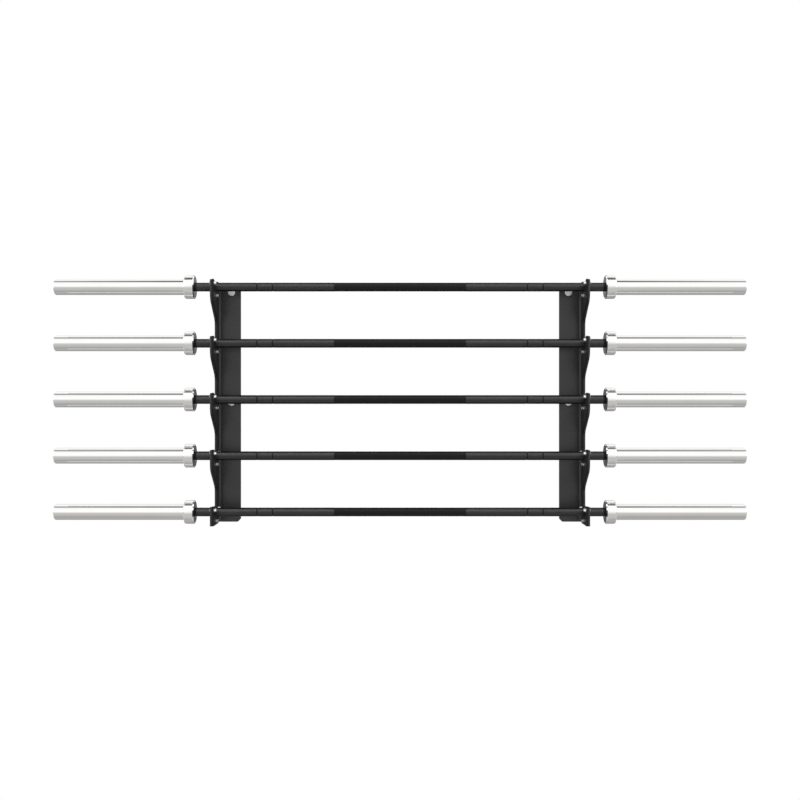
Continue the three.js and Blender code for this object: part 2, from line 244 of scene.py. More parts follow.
def finished(name, bm, materials, bevel=0.0):
    """A mesh object from a bmesh, with its edges eased, its flats kept flat and its rounds smooth."""
    bmesh.ops.remove_doubles(bm, verts=bm.verts, dist=WELD)
    bmesh.ops.recalc_face_normals(bm, faces=bm.faces)
    for face in bm.faces:
        face.smooth = True
    mesh = bpy.data.meshes.new(name)
    bm.to_mesh(mesh)
    bm.free()
    for material in materials:
        mesh.materials.append(material)
    piece = bpy.data.objects.new(name, mesh)
    bpy.context.scene.collection.objects.link(piece)
    if bevel:
        ease = piece.modifiers.new("eased edges", "BEVEL")
        ease.width = bevel
        ease.segments = EDGE_SEGMENTS
        ease.limit_method = "ANGLE"
        ease.angle_limit = SHARP_ANGLE
    else:
        mesh.set_sharp_from_angle(angle=SHARP_ANGLE)
    flats = piece.modifiers.new("flat faces", "WEIGHTED_NORMAL")
    flats.weight = FLAT_FACE_WEIGHT
    flats.keep_sharp = True
    return plain(piece)


def plain(piece):
    """The piece with its modifiers taken up into a plain mesh."""
    view = bpy.context.evaluated_depsgraph_get()
    baked = bpy.data.meshes.new_from_object(piece.evaluated_get(view), depsgraph=view)
    baked.name = piece.name
    piece.modifiers.clear()
    piece.data = baked
    return piece


def flat_sheet(outline, holes):
    """A flat sheet in the plane of its outline, with round holes."""
    bm = bmesh.new()
    edges = []
    for loop in [outline, *holes]:
        verts = [bm.verts.new((point.x, point.y, 0)) for point in loop]
        edges += [bm.edges.new((vert, verts[(i + 1) % len(verts)])) for i, vert in enumerate(verts)]
    bmesh.ops.triangle_fill(bm, use_beauty=True, use_dissolve=False, edges=edges)
    return bm


def thickened(sheet, place):
    """A closed shell from a flat sheet. place gives a point's position on the front and on the back."""
    bm = bmesh.new()
    front = {vert: bm.verts.new(place(vert.co, False)) for vert in sheet.verts}
    back = {vert: bm.verts.new(place(vert.co, True)) for vert in sheet.verts}
    for face in sheet.faces:
        bm.faces.new([front[vert] for vert in face.verts])
        bm.faces.new([back[vert] for vert in reversed(face.verts)])
    for edge in sheet.edges:
        if edge.is_boundary:
            a, b = edge.verts
            bm.faces.new([front[a], front[b], back[b], back[a]])
    sheet.free()
    return bm


def turned(profile, closed=False, material_at=None):
    """A body turned about X from a profile of (x, radius), with a UV map in metres: round, along."""
    bm = bmesh.new()
    rings = []
    for x, radius in profile:
        if radius < WELD:
            rings.append([bm.verts.new((x, 0, 0))])
            continue
        turns = [2 * math.pi * step / ROUND_SEGMENTS for step in range(ROUND_SEGMENTS)]
        rings.append([bm.verts.new((x, radius * math.cos(t), radius * math.sin(t))) for t in turns])
    surface = bm.loops.layers.uv.new("surface")
    pairs = list(zip(range(len(rings)), range(1, len(rings))))
    if closed:
        pairs.append((len(rings) - 1, 0))
    for one, other in pairs:
        for step in range(ROUND_SEGMENTS):
            following = (step + 1) % ROUND_SEGMENTS
            picks = [(one, step), (one, following), (other, following), (other, step)]
            corners = []
            for ring, place in picks:
                vert = rings[ring][place if len(rings[ring]) > 1 else 0]
                turn = step + 1 if place == following else step
                if vert not in [corner[0] for corner in corners]:
                    corners.append((vert, turn))
            face = bm.faces.new([vert for vert, _ in corners])
            for loop, (vert, turn) in zip(face.loops, corners):
                around = 2 * math.pi * SHAFT_RADIUS * turn / ROUND_SEGMENTS
                loop[surface].uv = (around, vert.co.x)
            if material_at:
                face.material_index = material_at((rings[one][0].co.x + rings[other][0].co.x) / 2)
    return bm


def moved(bm, place=(0, 0, 0), mirror=1):
    """The same bmesh, mirrored across X where asked and then moved."""
    bmesh.ops.scale(bm, vec=(mirror, 1, 1), verts=bm.verts)
    bmesh.ops.translate(bm, vec=place, verts=bm.verts)
    return bm


# Node helpers

def grey(level):
    """A neutral colour."""
    return (level, level, level)


def node(tree, kind, inputs=None, **settings):
    """A node with its settings and inputs. An input is a value or another node's output."""
    made = tree.nodes.new(kind)
    for key, value in settings.items():
        setattr(made, key, value)
    for key, value in (inputs or {}).items():
        if isinstance(value, bpy.types.NodeSocket):
            tree.links.new(value, made.inputs[key])
        else:
            made.inputs[key].default_value = value
    return made


def maths(tree, operation, first, second=0.0):
    """The output of a Math node."""
    return node(tree, "ShaderNodeMath", {0: first, 1: second}, operation=operation).outputs[0]


def between(tree, value, low, high, from_low=0.0, from_high=1.0):
    """A value mapped from one range to another, and held inside it."""
    ends = {"Value": value, "From Min": from_low, "From Max": from_high, "To Min": low, "To Max": high}
    return node(tree, "ShaderNodeMapRange", ends).outputs[0]


def rising(tree, value, start, end):
    """A share that rises from 0 to 1 while the value goes from start to end."""
    return between(tree, value, 0, 1, start, end)


def mixed(tree, share, first, second):
    """A colour between two others, each of them a colour or another node's output."""
    ends = [end if isinstance(end, bpy.types.NodeSocket) else (*end, 1) for end in (first, second)]
    inputs = {"Factor": share, "A": ends[0], "B": ends[1]}
    return node(tree, "ShaderNodeMix", inputs, data_type="RGBA").outputs["Result"]


# Finishes. Tones come as (dark, light) and roughness as (smooth, rough). A grain is a noise's scale, in
# cells for each metre, and a stretch draws it out along the axes that have the small numbers.

LOW_DETAIL = 1
MIDDLE_DETAIL = 2
HIGH_DETAIL = 3

COAT_TONES = (grey(0.0155), grey(0.0255))
COAT_ROUGHNESS = (0.22, 0.33)
COAT_SPECULAR = 0.5
COAT_CLOUD_GRAIN = 9
PEEL_GRAIN = 700
PEEL_DEPTH = 0.0002
PEEL_STRENGTH = 0.6

LINER_TONES = (grey(0.006), grey(0.012))
LINER_ROUGHNESS = (0.44, 0.60)
LINER_SPECULAR = 0.15
LINER_GRAIN = 500
SAW_GRAIN = 260
SAW_STRETCH = (4, 0.4, 1)
SAW_DEPTH = 0.0001
SAW_STRENGTH = 0.5
RUB_TONE = (0.045, 0.045, 0.044)
RUB_POLISH = 0.16
RUB_FULL_DEPTH = 0.0004
RUB_END_DEPTH = 0.0012

BRIGHT_ZINC_TONES = ((0.86, 0.86, 0.84), (0.94, 0.94, 0.95))
DULL_ZINC_TONES = ((0.28, 0.28, 0.27), (0.40, 0.40, 0.41))
GLOSSY_ZINC_ROUGHNESS = (0.10, 0.24)
SATIN_ZINC_ROUGHNESS = (0.34, 0.48)
ZINC_CLOUD_GRAIN = 220
ZINC_GRAIN = 900

OXIDE_TONES = ((0.007, 0.007, 0.008), (0.011, 0.011, 0.012))
OXIDE_ROUGHNESS = (0.26, 0.34)
OXIDE_SPECULAR = 0.10
OXIDE_CLOUD_GRAIN = 30
OXIDE_LATHE_GRAIN = 900
OXIDE_LATHE_STRETCH = (1, 0.02, 0.02)
OXIDE_LATHE_DEPTH = 0.00002

GROOVE_TONE = (0.042, 0.042, 0.043)
GROOVE_ROUGHNESS = 0.34
CREST_TONES = (grey(0.13), grey(0.22))
CREST_ROUGHNESS = 0.24
CREST_START_SHARE = 0.45
KNURL_CLOUD_GRAIN = 24
KNURL_DEPTH = 0.00007

CHROME_TONES = ((0.82, 0.82, 0.81), (0.88, 0.88, 0.87))
CHROME_ROUGHNESS = (0.05, 0.09)
CHROME_CLOUD_GRAIN = 12
CHROME_LATHE_GRAIN = 1200
CHROME_LATHE_STRETCH = (1, 0.01, 0.01)
CHROME_LATHE_DEPTH = 0.000004
SCRATCH_GRAIN = 600
SCRATCH_STRETCH = (0.02, 1, 1)
SCRATCH_ROUGHNESS = (0, 0.05)
SCRATCH_SHARES = (0.55, 0.8)

# Bronze tones darkened as painted shade for the bushing's place in the collar's recess
RECESS_SHADED_BRONZE_TONES = ((0.16, 0.10, 0.05), (0.32, 0.21, 0.10))
BRONZE_ROUGHNESS = (0.30, 0.45)
BRONZE_GRAIN = 1500

CAP_TONES = ((0.030, 0.030, 0.031), (0.060, 0.060, 0.061))
CAP_ROUGHNESS = (0.30, 0.45)
CAP_GRAIN = 800

FLOOR_TONES = (grey(0.80), grey(0.84))
FLOOR_ROUGHNESS = 0.7
FLOOR_SPECULAR = 0.2
FLOOR_CLOUD_GRAIN = 1.5


def new_finish(name, **constants):
    """A material with a Principled shader: the material, its tree, the shader and its coordinates."""
    material = bpy.data.materials.new(name)
    material.use_nodes = True
    tree = material.node_tree
    shader = tree.nodes["Principled BSDF"]
    for key, value in constants.items():
        shader.inputs[key.replace("_", " ")].default_value = value
    return material, tree, shader, node(tree, "ShaderNodeTexCoord").outputs


def noise(tree, where, scale, detail=MIDDLE_DETAIL, stretch=(1, 1, 1)):
    """A noise value on coordinates that are stretched first."""
    spread = node(tree, "ShaderNodeMapping", {"Vector": where, "Scale": stretch})
    inputs = {"Vector": spread.outputs[0], "Scale": scale, "Detail": detail}
    return node(tree, "ShaderNodeTexNoise", inputs).outputs["Fac"]


def coloured(tree, shader, share, first, second):
    """The shader's colour, from the first tone to the second."""
    tree.links.new(mixed(tree, share, first, second), shader.inputs["Base Color"])


def roughened(tree, shader, share, first, second):
    """The shader's roughness, from the first value to the second."""
    tree.links.new(between(tree, share, first, second), shader.inputs["Roughness"])


def bumped(tree, shader, height, distance, strength=1.0):
    """The shader's normal from a height map."""
    relief = node(tree, "ShaderNodeBump", {"Height": height, "Distance": distance, "Strength": strength})
    tree.links.new(relief.outputs[0], shader.inputs["Normal"])


def powder_coat():
    """Satin black powder coat: a fine orange peel with slightly uneven gloss."""
    material, tree, shader, coordinates = new_finish("powder_coat", Specular_IOR_Level=COAT_SPECULAR)
    peel = noise(tree, coordinates["Object"], PEEL_GRAIN)
    cloud = noise(tree, coordinates["Object"], COAT_CLOUD_GRAIN, HIGH_DETAIL)
    coloured(tree, shader, cloud, *COAT_TONES)
    roughened(tree, shader, peel, *COAT_ROUGHNESS)
    bumped(tree, shader, peel, PEEL_DEPTH, PEEL_STRENGTH)
    return material


def cradle_rub(tree, where):
    """1 on the cradles' round seats, fading to 0 a little deeper in the plastic."""
    parts = node(tree, "ShaderNodeSeparateXYZ", {0: where}).outputs
    pitch = bar_heights[0] - bar_heights[1]
    lowest = bar_heights[-1] + CRADLE_CENTRE_RISE - pitch / 2
    raised = maths(tree, "SUBTRACT", parts["Z"], lowest)
    level = maths(tree, "SUBTRACT", maths(tree, "MODULO", raised, pitch), pitch / 2)
    setback = maths(tree, "SUBTRACT", parts["Y"], bar_y)
    squares = [maths(tree, "MULTIPLY", leg, leg) for leg in (level, setback)]
    distance = maths(tree, "SQRT", maths(tree, "ADD", *squares))
    return between(tree, distance, 1, 0, CRADLE_RADIUS + RUB_FULL_DEPTH, CRADLE_RADIUS + RUB_END_DEPTH)


def liner_plastic():
    """Black plastic sheet with faint saw marks on its edges and a rubbed seat in each cradle."""
    material, tree, shader, coordinates = new_finish("liner_plastic", Specular_IOR_Level=LINER_SPECULAR)
    rub = cradle_rub(tree, coordinates["Object"])
    grain = noise(tree, coordinates["Object"], LINER_GRAIN)
    marks = noise(tree, coordinates["Object"], SAW_GRAIN, stretch=SAW_STRETCH)
    coloured(tree, shader, rub, mixed(tree, marks, *LINER_TONES), RUB_TONE)
    polish = maths(tree, "MULTIPLY", rub, RUB_POLISH)
    rough = maths(tree, "SUBTRACT", between(tree, grain, *LINER_ROUGHNESS), polish)
    tree.links.new(rough, shader.inputs["Roughness"])
    bumped(tree, shader, marks, SAW_DEPTH, SAW_STRENGTH)
    return material


def zinc_plate(name, tones, roughness):
    """Zinc plating with a cloudy, slightly blue passivation."""
    material, tree, shader, coordinates = new_finish(name, Metallic=1.0)
    coloured(tree, shader, noise(tree, coordinates["Object"], ZINC_CLOUD_GRAIN, HIGH_DETAIL), *tones)
    roughened(tree, shader, noise(tree, coordinates["Object"], ZINC_GRAIN), *roughness)
    return material


def smooth_oxide():
    """Black oxide on the shaft's smooth stretches, turned and polished."""
    material, tree, shader, coordinates = new_finish("smooth_oxide", Specular_IOR_Level=OXIDE_SPECULAR)
    lathe = noise(tree, coordinates["Object"], OXIDE_LATHE_GRAIN, LOW_DETAIL, OXIDE_LATHE_STRETCH)
    cloud = noise(tree, coordinates["Object"], OXIDE_CLOUD_GRAIN, HIGH_DETAIL)
    coloured(tree, shader, cloud, *OXIDE_TONES)
    roughened(tree, shader, lathe, *OXIDE_ROUGHNESS)
    bumped(tree, shader, lathe, OXIDE_LATHE_DEPTH)
    return material


def knurled_oxide():
    """Black oxide on the knurled stretches: diamond points with worn crests, on the shaft's UV map."""
    material, tree, shader, coordinates = new_finish("knurled_oxide", Metallic=1.0)
    parts = node(tree, "ShaderNodeSeparateXYZ", {0: coordinates["UV"]}).outputs
    pitch = 2 * math.pi * SHAFT_RADIUS / KNURL_COUNT
    grooves = []
    for way in ("ADD", "SUBTRACT"):
        helix = maths(tree, "DIVIDE", maths(tree, way, parts["X"], parts["Y"]), pitch)
        grooves.append(maths(tree, "MULTIPLY", maths(tree, "PINGPONG", helix, 0.5), 2.0))
    height = maths(tree, "MINIMUM", *grooves)
    crest = rising(tree, height, CREST_START_SHARE, 1)
    worn = mixed(tree, noise(tree, coordinates["Object"], KNURL_CLOUD_GRAIN, HIGH_DETAIL), *CREST_TONES)
    coloured(tree, shader, crest, GROOVE_TONE, worn)
    roughened(tree, shader, crest, GROOVE_ROUGHNESS, CREST_ROUGHNESS)
    bumped(tree, shader, height, KNURL_DEPTH)
    return material


def hard_chrome():
    """Hard chrome with faint turning lines and the long scratches that plates leave."""
    material, tree, shader, coordinates = new_finish("hard_chrome", Metallic=1.0)
    lathe = noise(tree, coordinates["Object"], CHROME_LATHE_GRAIN, LOW_DETAIL, CHROME_LATHE_STRETCH)
    scratches = noise(tree, coordinates["Object"], SCRATCH_GRAIN, stretch=SCRATCH_STRETCH)
    coloured(tree, shader, noise(tree, coordinates["Object"], CHROME_CLOUD_GRAIN), *CHROME_TONES)
    scratched = between(tree, scratches, *SCRATCH_ROUGHNESS, *SCRATCH_SHARES)
    rough = maths(tree, "ADD", scratched, between(tree, lathe, *CHROME_ROUGHNESS))
    tree.links.new(rough, shader.inputs["Roughness"])
    bumped(tree, shader, lathe, CHROME_LATHE_DEPTH)
    return material


def bushing_bronze():
    """Oiled sintered bronze, its tones darkened as painted shade for the recess in the collar where it sits.
    """
    material, tree, shader, coordinates = new_finish("bushing_bronze", Metallic=1.0)
    grain = noise(tree, coordinates["Object"], BRONZE_GRAIN, HIGH_DETAIL)
    coloured(tree, shader, grain, *RECESS_SHADED_BRONZE_TONES)
    roughened(tree, shader, grain, *BRONZE_ROUGHNESS)
    return material


def cap_steel():
    """Blackened steel with a fine grain, on the end caps and snap rings."""
    material, tree, shader, coordinates = new_finish("cap_steel", Metallic=1.0)
    grain = noise(tree, coordinates["Object"], CAP_GRAIN)
    coloured(tree, shader, grain, *CAP_TONES)
    roughened(tree, shader, grain, *CAP_ROUGHNESS)
    return material


def floor_paint():
    """Pale floor with a barely uneven tone."""
    constants = {"Roughness": FLOOR_ROUGHNESS, "Specular_IOR_Level": FLOOR_SPECULAR}
    material, tree, shader, coordinates = new_finish("floor_paint", **constants)
    coloured(tree, shader, noise(tree, coordinates["Object"], FLOOR_CLOUD_GRAIN, HIGH_DETAIL), *FLOOR_TONES)
    return material


POWDER_COAT = powder_coat()
LINER_PLASTIC = liner_plastic()
ZINC = zinc_plate("zinc_plate", BRIGHT_ZINC_TONES, GLOSSY_ZINC_ROUGHNESS)
DULL_ZINC = zinc_plate("dull_zinc_plate", DULL_ZINC_TONES, GLOSSY_ZINC_ROUGHNESS)
SATIN_ZINC = zinc_plate("satin_zinc_plate", BRIGHT_ZINC_TONES, SATIN_ZINC_ROUGHNESS)
SMOOTH_OXIDE = smooth_oxide()
KNURLED_OXIDE = knurled_oxide()
CHROME = hard_chrome()
BRONZE = bushing_bronze()
CAP_STEEL = cap_steel()
FLOOR = floor_paint()


# Camera

def make_camera():
    """The photograph's camera, just below the middle barbell's level and square to the wall."""
    data = bpy.data.cameras.new("camera")
    data.lens = LENS_MM
    data.sensor_width = SENSOR_MM
    camera = bpy.data.objects.new("camera", data)
    camera.location = (0, bar_y - CAMERA_DISTANCE, bar_heights[BAR_COUNT // 2] - CAMERA_DROP)
    camera.rotation_euler = (math.pi / 2, 0, 0)
    bpy.context.scene.collection.objects.link(camera)
    bpy.context.scene.camera = camera


make_camera()


# Uprights and liners

def cradle_corner(setback):
    """Where a cradle's two leaning walls would meet below its round seat."""
    reach = (CRADLE_RADIUS + setback) / math.sin((FRONT_WALL_LEAN + RAMP_LEAN) / 2)
    tilt = (RAMP_LEAN - FRONT_WALL_LEAN) / 2
    return -reach * math.sin(tilt), CRADLE_CENTRE_RISE - reach * math.cos(tilt)


def hook_corners(top_rise, tip_rise, setback):
    """The corners of the hooks' edge (y, z, radius), from the top of the highest ramp to the bottom."""
    seat_u, seat_v = cradle_corner(setback)
    lip = seat_u - (tip_rise - seat_v) * math.tan(FRONT_WALL_LEAN)
    ramp_top_rise = seat_v + (SPINE_SETBACK - seat_u) / math.tan(RAMP_LEAN)
    ramp_end = seat_u + (top_rise - seat_v) * math.tan(RAMP_LEAN)
    corners = []
    for index, height in enumerate(bar_heights):
        if index == 0:
            corners.append((ramp_end, height + top_rise, TIP_RADIUS))
        else:
            corners.append((SPINE_SETBACK, height + ramp_top_rise, RAMP_TOP_RADIUS))
        corners.append((seat_u, height + seat_v, CRADLE_RADIUS + setback))
        corners.append((lip, height + tip_rise, LIP_RADIUS))
        corners.append((-HOOK_REACH, height + tip_rise, TIP_RADIUS))
        if index < BAR_COUNT - 1:
            corners.append((-HOOK_REACH, height - SLOPE_TOP_DROP, SLOPE_TOP_RADIUS))
            corners.append((SPINE_SETBACK, height - SLOPE_FOOT_DROP, SLOPE_FOOT_RADIUS))
    corners.append((-HOOK_REACH, rack_bottom, TIP_RADIUS))
    return [(bar_y + u, v, radius) for u, v, radius in corners]


def liner_bolt_places():
    """Every place (y, z) of a liner bolt on one side."""
    places = []
    for number, height in enumerate(bar_heights, 1):
        for arm in ("front", "lower"):
            at = middle(f"right_liner_{arm}_bolt_{number}")
            places.append((at.y, at.z))
        places.append((bar_y + REAR_BOLT_PLACE[0], height + REAR_BOLT_PLACE[1]))
    return places


def wall_bolt_places():
    """Every place (x, z) of a wall bolt on the right side."""
    found = [middle(name) for name in sorted(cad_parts) if name.startswith("right_wall_bolt")]
    return [(at.x, at.z) for at in found]


def liner_holes():
    """The outlines of the liner bolts' holes, seen from the side."""
    return [circle(y, z, LINER_HOLE_DIAMETER / 2, HOLE_SEGMENTS) for y, z in liner_bolt_places()]


def make_upright(side, mirror):
    """One steel upright: cut flat, then folded between its flange and its wall plate."""
    arc = OUTER_BEND_RADIUS * math.pi / 2
    fold_start = -OUTER_BEND_RADIUS
    fold_end = fold_start + arc
    plate_edge = fold_end + steel_outer_x - OUTER_BEND_RADIUS - plate_inner_x
    chamfer = PLATE_CORNER_CHAMFER
    corners = hook_corners(rack_top - bar_heights[0], STEEL_TIP_RISE, STEEL_SETBACK)
    corners += [
        (plate_edge - chamfer, rack_bottom, 0),
        (plate_edge, rack_bottom + chamfer, 0),
        (plate_edge, rack_top - chamfer, 0),
        (plate_edge - chamfer, rack_top, 0),
    ]
    holes = liner_holes()
    for x, z in wall_bolt_places():
        unfolded = fold_end + steel_outer_x - OUTER_BEND_RADIUS - x
        holes.append(circle(unfolded, z, WALL_HOLE_DIAMETER / 2, HOLE_SEGMENTS))
    sheet = flat_sheet(rounded(corners), holes)
    for cut in range(BEND_CUTS + 1):
        line = fold_start + arc * cut / BEND_CUTS
        everything = sheet.verts[:] + sheet.edges[:] + sheet.faces[:]
        bmesh.ops.bisect_plane(sheet, geom=everything, plane_co=(line, 0, 0), plane_no=(1, 0, 0), dist=WELD)

    def folded(point, inside):
        """Where a point of the flat sheet goes, on the outside or the inside of the bent steel."""
        depth = STEEL_THICKNESS if inside else 0
        along, height = point.x, point.y
        if along <= fold_start:
            return steel_outer_x - depth, along, height
        if along >= fold_end:
            return steel_outer_x - OUTER_BEND_RADIUS - (along - fold_end), -depth, height
        angle = (along - fold_start) / OUTER_BEND_RADIUS
        reach = OUTER_BEND_RADIUS - depth
        centre_x = steel_outer_x - OUTER_BEND_RADIUS
        return centre_x + reach * math.cos(angle), fold_start + reach * math.sin(angle), height

    shell = moved(thickened(sheet, folded), mirror=mirror)
    upright = finished(f"{side}_upright_steel", shell, [POWDER_COAT], STEEL_EDGE)
    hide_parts(f"{side}_upright")
    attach(upright, "rack")


def make_liner(side, mirror):
    """One plastic liner along the inner face of the flange."""
    corners = hook_corners(liner_tip_rise, liner_tip_rise, 0)
    corners += [
        (bar_y + LINER_BACK_SETBACK, rack_bottom, TIP_RADIUS),
        (bar_y + LINER_BACK_SETBACK, bar_heights[0] + liner_tip_rise, TIP_RADIUS),
    ]
    sheet = flat_sheet(rounded(corners), liner_holes())

    def placed(point, inside):
        """Where a point of the flat sheet goes, on the face at the steel or on the inner face."""
        return liner_inner_x if inside else steel_outer_x - STEEL_THICKNESS - SEAT_GAP, point.x, point.y

    shell = moved(thickened(sheet, placed), mirror=mirror)
    liner = finished(f"{side}_liner_sheet", shell, [LINER_PLASTIC], LINER_EDGE)
    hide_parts(f"{side}_liner")
    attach(liner, "rack")


for side, mirror in SIDES.items():
    make_upright(side, mirror)
    make_liner(side, mirror)


# Fasteners

BOLT_LABELS = [
    "Flats",
    "Head Height",
    "Shank Diameter",
    "Shank Length",
    "Washer Diameter",
    "Washer Thickness",
]
NUT_LABELS = ["Flats", "Nut Height"]


def at_height(tree, geometry, height, upside_down=False):
    """Geometry moved along Z, and turned over first where asked."""
    place = node(tree, "ShaderNodeCombineXYZ", {"Z": height})
    turn = (math.pi, 0, 0) if upside_down else (0, 0, 0)
    inputs = {"Geometry": geometry, "Translation": place.outputs[0], "Rotation": turn}
    return node(tree, "GeometryNodeTransform", inputs).outputs[0]


def chamfered(tree, sides, radius, height, rim_share, spread):
    """A prism from the origin upwards, with the edge of its top turned off to a cone."""
    prism = node(tree, "GeometryNodeMeshCylinder", {"Vertices": sides, "Radius": radius, "Depth": height})
    raised = at_height(tree, prism.outputs[0], maths(tree, "MULTIPLY", height, 0.5))
    rim = maths(tree, "MULTIPLY", radius, rim_share)
    foot = maths(tree, "ADD", rim, maths(tree, "MULTIPLY", height, spread))
    sizes = {"Vertices": CONE_SIDES, "Radius Top": rim, "Radius Bottom": foot, "Depth": height}
    cone = node(tree, "GeometryNodeMeshCone", sizes)
    cut = node(tree, "GeometryNodeMeshBoolean", operation="INTERSECT", solver="EXACT")
    tree.links.new(raised, cut.inputs["Mesh 2"])
    tree.links.new(cone.outputs[0], cut.inputs["Mesh 2"])
    return cut.outputs[0]


def hexagon(tree, flats, height):
    """A bolt's head or a nut, with the corners of its outer face turned off."""
    radius = maths(tree, "DIVIDE", flats, math.sqrt(3))
    return chamfered(tree, HEX_SIDES, radius, height, HEX_RIM_SHARE, HEX_SPREAD)


def bolt_parts(tree, given):
    """Washer and head above the seat, and the shank below it."""
    thickness = given["Washer Thickness"]
    half = maths(tree, "MULTIPLY", thickness, 0.5)
    head = at_height(tree, hexagon(tree, given["Flats"], given["Head Height"]), thickness)
    shank_radius = maths(tree, "MULTIPLY", given["Shank Diameter"], 0.5)
    shank_length = maths(tree, "ADD", given["Shank Length"], half)
    shank = chamfered(tree, SHANK_SIDES, shank_radius, shank_length, SHANK_RIM_SHARE, SHANK_SPREAD)
    washer_radius = maths(tree, "MULTIPLY", given["Washer Diameter"], 0.5)
    washer = chamfered(tree, WASHER_SIDES, washer_radius, thickness, WASHER_RIM_SHARE, WASHER_SPREAD)
    return washer, head, at_height(tree, shank, half, upside_down=True)


def nut_parts(tree, given):
    """A nut on the seat."""
    return (hexagon(tree, given["Flats"], given["Nut Height"]),)


def new_copies_tree(name, labels):
    """An empty node tree that takes points, the labelled sizes, a spin's range, a seed and a finish."""
    tree = bpy.data.node_groups.new(name, "GeometryNodeTree")
    sockets = [("Geometry", "Geometry")]
    sockets += [(label, "Float") for label in (*labels, "Least Spin", "Most Spin")]
    sockets += [("Seed", "Int"), ("Finish", "Material")]
    for label, kind in sockets:
        tree.interface.new_socket(label, in_out="INPUT", socket_type=f"NodeSocket{kind}")
    tree.interface.new_socket("Geometry", in_out="OUTPUT", socket_type="NodeSocketGeometry")
    return tree


def copy_turn(tree, given):
    """Each copy's turn: its point's facing, then a small random spin that is mirrored across X."""
    facing = node(tree, "GeometryNodeInputNamedAttribute", {"Name": "facing"}, data_type="FLOAT_VECTOR")
    aim = node(tree, "FunctionNodeEulerToRotation", {0: facing.outputs[0]})
    place = node(tree, "ShaderNodeSeparateXYZ", {0: node(tree, "GeometryNodeInputPosition").outputs[0]})
    limits = {"Min": given["Least Spin"], "Max": given["Most Spin"], "Seed": given["Seed"]}
    chance = node(tree, "FunctionNodeRandomValue", limits, data_type="FLOAT")
    signed = maths(tree, "MULTIPLY", maths(tree, "SIGN", place.outputs["X"]), chance.outputs["Value"])
    spin = node(tree, "ShaderNodeCombineXYZ", {"Z": signed})
    spin_turn = node(tree, "FunctionNodeEulerToRotation", {0: spin.outputs[0]})
    turns = {"Rotation": aim.outputs[0], "Rotate By": spin_turn.outputs[0]}
    return node(tree, "FunctionNodeRotateRotation", turns, rotation_space="LOCAL").outputs[0]


def placed_tree(name, labels, build):
    """A node tree that sets what build makes on every point, turned and coated."""
    tree = new_copies_tree(name, labels)
    given = node(tree, "NodeGroupInput").outputs
    model = node(tree, "GeometryNodeJoinGeometry")
    for geometry in build(tree, given):
        tree.links.new(geometry, model.inputs[0])
    placing = {"Points": given["Geometry"], "Instance": model.outputs[0], "Rotation": copy_turn(tree, given)}
    copies = node(tree, "GeometryNodeInstanceOnPoints", placing)
    real = node(tree, "GeometryNodeRealizeInstances", {"Geometry": copies.outputs[0]})
    coating = {"Geometry": real.outputs[0], "Material": given["Finish"]}
    coated = node(tree, "GeometryNodeSetMaterial", coating)
    node(tree, "NodeGroupOutput", {"Geometry": coated.outputs[0]})
    return tree


def fasteners(name, tree, places, sizes):
    """One mesh of fasteners from (place, facing) pairs, each facing an Euler turn of the piece's own Z."""
    points = bpy.data.meshes.new(name)
    points.from_pydata([place for place, _ in places], [], [])
    facing = points.attributes.new("facing", "FLOAT_VECTOR", "POINT")
    for index, (_, turn) in enumerate(places):
        facing.data[index].vector = turn
    piece = bpy.data.objects.new(name, points)
    bpy.context.scene.collection.objects.link(piece)
    build = piece.modifiers.new("copies", "NODES")
    build.node_group = tree
    for item in tree.interface.items_tree:
        if item.in_out == "INPUT" and item.name in sizes:
            build[item.identifier] = sizes[item.name]
    plain(piece)
    for polygon in piece.data.polygons:
        polygon.use_smooth = True
    piece.data.set_sharp_from_angle(angle=FASTENER_SHARP_ANGLE)
    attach(piece, "rack")
    return piece


def liner_seats(x, facing):
    """The seats of the liner bolts' parts at x on both sides, facing outwards (1) or inwards (-1)."""
    seats = []
    for mirror in SIDES.values():
        for y, z in liner_bolt_places():
            seats.append(((mirror * x, y, z), (0, facing * mirror * math.pi / 2, 0)))
    return seats


def make_liner_bolts():
    """The bolts through liners and steel, with their nuts, on both sides."""
    heads = liner_seats(liner_inner_x - SEAT_GAP, -1)
    nuts = liner_seats(steel_outer_x + SEAT_GAP, 1)
    least, most = LINER_BOLT_SPIN
    grip = steel_outer_x - liner_inner_x + 2 * SEAT_GAP
    bolts = fasteners("liner_bolts", placed_tree("liner bolt", BOLT_LABELS, bolt_parts), heads, {
        "Flats": LINER_BOLT_FLATS,
        "Head Height": LINER_BOLT_HEAD,
        "Shank Diameter": LINER_BOLT_DIAMETER,
        "Shank Length": grip + LINER_NUT + LINER_BOLT_END,
        "Washer Diameter": LINER_WASHER_DIAMETER,
        "Washer Thickness": LINER_WASHER,
        "Least Spin": least,
        "Most Spin": most,
        "Seed": LINER_BOLT_SEED,
        "Finish": ZINC,
    })
    fasteners("liner_nuts", placed_tree("liner nut", NUT_LABELS, nut_parts), nuts, {
        "Flats": LINER_BOLT_FLATS,
        "Nut Height": LINER_NUT,
        "Least Spin": -most,
        "Most Spin": -least,
        "Seed": LINER_NUT_SEED,
        "Finish": DULL_ZINC,
    })
    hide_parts(*[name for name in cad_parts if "_liner_" in name and "_bolt_" in name])


